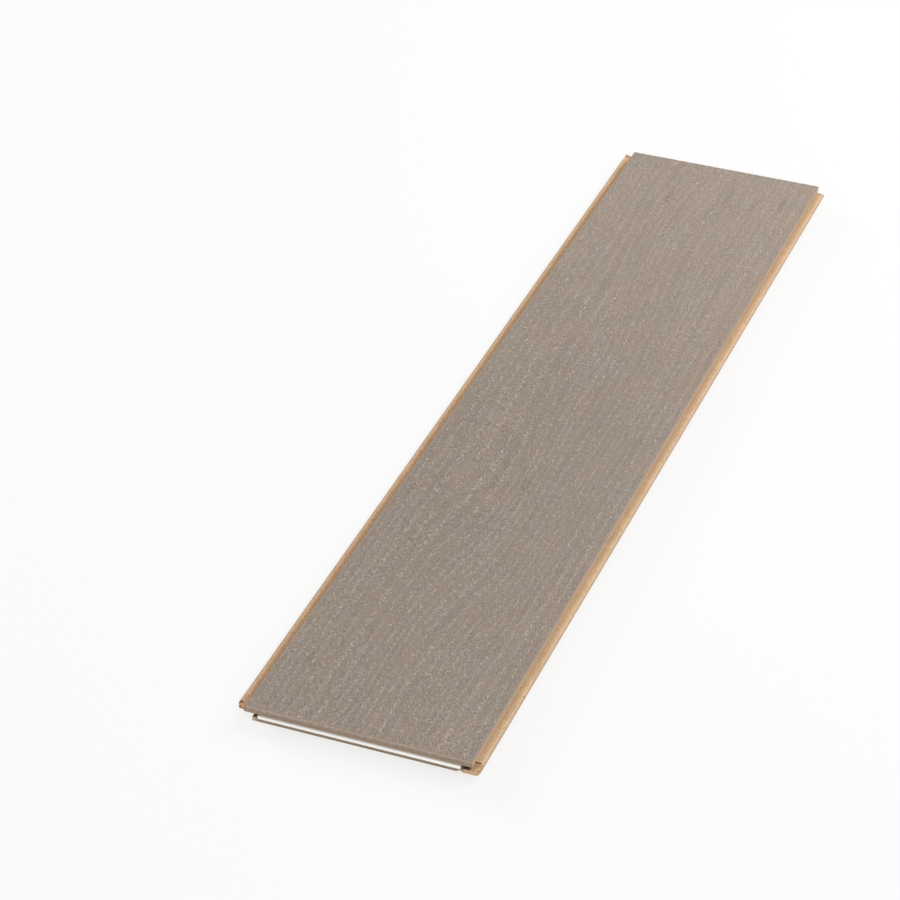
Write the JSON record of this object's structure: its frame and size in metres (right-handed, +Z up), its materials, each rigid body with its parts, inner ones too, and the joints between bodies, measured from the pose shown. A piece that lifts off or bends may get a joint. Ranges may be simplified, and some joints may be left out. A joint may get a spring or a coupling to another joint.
{
  "type": "engineered floorboard",
  "caption": "Short click-joint floorboard: a grey-brown oak face with bevelled edges on a milled fibreboard core, with a plastic locking insert in one end.",
  "frame": {"origin": "centre of the underside, taken over the whole board with its joints", "axes": "+X across the board towards its tongue edge, +Y along it from the insert end to the strip end, +Z up out of the oak face"},
  "size_m": [0.1554, 0.719, 0.013],
  "materials": {
    "oak": "brushed grey-brown oak under a matt oil",
    "fibreboard": "bare milled fibreboard",
    "white_plastic": "plain white moulding"
  },
  "bodies": {
    "root": {"oak_face": "oak", "fibreboard_core": "fibreboard", "locking_insert": "white_plastic"}
  },
  "joints": []
}
